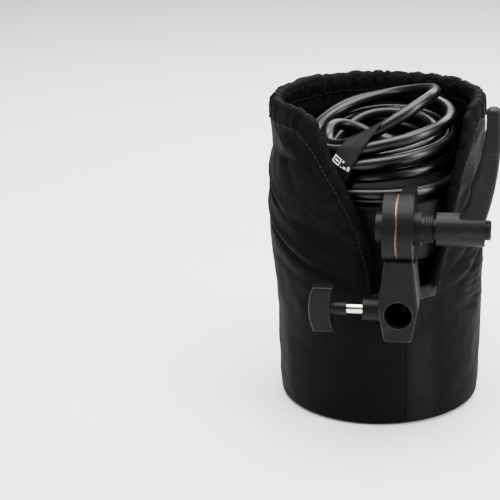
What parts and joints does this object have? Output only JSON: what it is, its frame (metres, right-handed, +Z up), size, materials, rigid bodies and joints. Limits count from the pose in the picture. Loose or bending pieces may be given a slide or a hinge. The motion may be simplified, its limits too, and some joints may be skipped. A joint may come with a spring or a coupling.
{
  "type": "padded flash head sleeve",
  "caption": "Padded cylindrical fabric sleeve with a V-shaped front slot, holding a flash head with tilt bracket, clamp lever, stud screw and coiled cable.",
  "frame": {"origin": "centre of the sleeve's base, on the surface it stands on", "axes": "+Z up the sleeve; the tilt bracket faces -Y and its pivot runs along X"},
  "size_m": [0.1416, 0.1654, 0.2092],
  "materials": {
    "nylon": "satin woven nylon",
    "foam": "closed-cell foam, seen nowhere",
    "elastic": "matt",
    "head_black": "fine textured black",
    "glass": "clear",
    "reflector": "satin anodised",
    "ceramic": "matt ceramic",
    "sheet_aluminium": "brushed",
    "cast_black": "black powder coat, fine texture",
    "lever_black": "satin black",
    "black_screw": "blackened steel",
    "bright_steel": "turned bright steel",
    "friction_brown": "brown fibre",
    "brass": "turned",
    "knob_plastic": "fine textured black",
    "cable_rubber": "satin black",
    "strap_fabric": "matt hook-and-loop with plain pale bars"
  },
  "bodies": {
    "sleeve": {"outer_shell": "nylon", "inner_lining": "nylon", "slot_facing_left": "nylon", "slot_facing_right": "nylon", "slot_facing_bottom": "nylon", "rim_casing": "nylon", "base_cover": "nylon", "base_lining": "nylon", "front_seam": "nylon", "foam_wall": "foam", "base_foam": "foam", "rim_elastic": "elastic"},
    "flash_head": {"head_housing": "head_black", "rear_cover": "head_black", "front_ring": "head_black", "front_glass": "glass", "flash_tube": "glass", "modelling_lamp": "glass", "reflector_dish": "reflector", "lamp_socket": "ceramic", "chassis_plate": "sheet_aluminium", "tilt_lug": "cast_black", "lug_screws": "black_screw", "steel_washer": "bright_steel", "friction_washer": "friction_brown", "thrust_collar": "cast_black", "pivot_bolt": "black_screw", "cable_gland": "cable_rubber", "cord_lead": "cable_rubber", "cord_coil": "cable_rubber", "cable_plug": "cable_rubber", "plug_pins": "brass", "cable_strap": "strap_fabric"},
    "tilt_arm": {"arm_block": "cast_black"},
    "clamp_nut": {"clamp_nut": "lever_black", "handle_screw": "black_screw"},
    "lever_handle": {"lever_handle": "lever_black", "handle_spring": "bright_steel"},
    "thrust_pad": {"thrust_pad": "brass"},
    "stud_screw": {"stud_screw": "bright_steel", "knob": "knob_plastic"}
  },
  "joints": [
    {"name": "head_lift", "type": "slide", "parent": "sleeve", "child": "flash_head", "axis": [0, 0, 1], "range_m": [0, 0.24]},
    {"name": "arm_tilt", "type": "hinge", "parent": "flash_head", "child": "tilt_arm", "pos_m": [0, -0.08, 0.1362], "axis": [-1, 0, 0], "range_deg": [0, 120]},
    {"name": "lever_swing", "type": "hinge", "parent": "flash_head", "child": "clamp_nut", "pos_m": [0, -0.08, 0.1362], "axis": [1, 0, 0], "range_deg": [-20, 120]},
    {"name": "handle_pull", "type": "slide", "parent": "clamp_nut", "child": "lever_handle", "axis": [1, 0, 0], "range_m": [0, 0.004], "stiffness_N_per_m": 800, "springref_m": -0.002, "deforming": ["handle_spring"]},
    {"name": "pad_travel", "type": "slide", "parent": "tilt_arm", "child": "thrust_pad", "axis": [1, 0, 0], "range_m": [0, 0.0085]},
    {"name": "knob_turn", "type": "hinge", "parent": "thrust_pad", "child": "stud_screw", "pos_m": [0, -0.085, 0.0866], "axis": [1, 0, 0], "range_deg": [0, 3062]}
  ],
  "couplings": [
    {"joint": "knob_turn", "follows": "pad_travel", "rad_per_m": 6283.2}
  ]
}
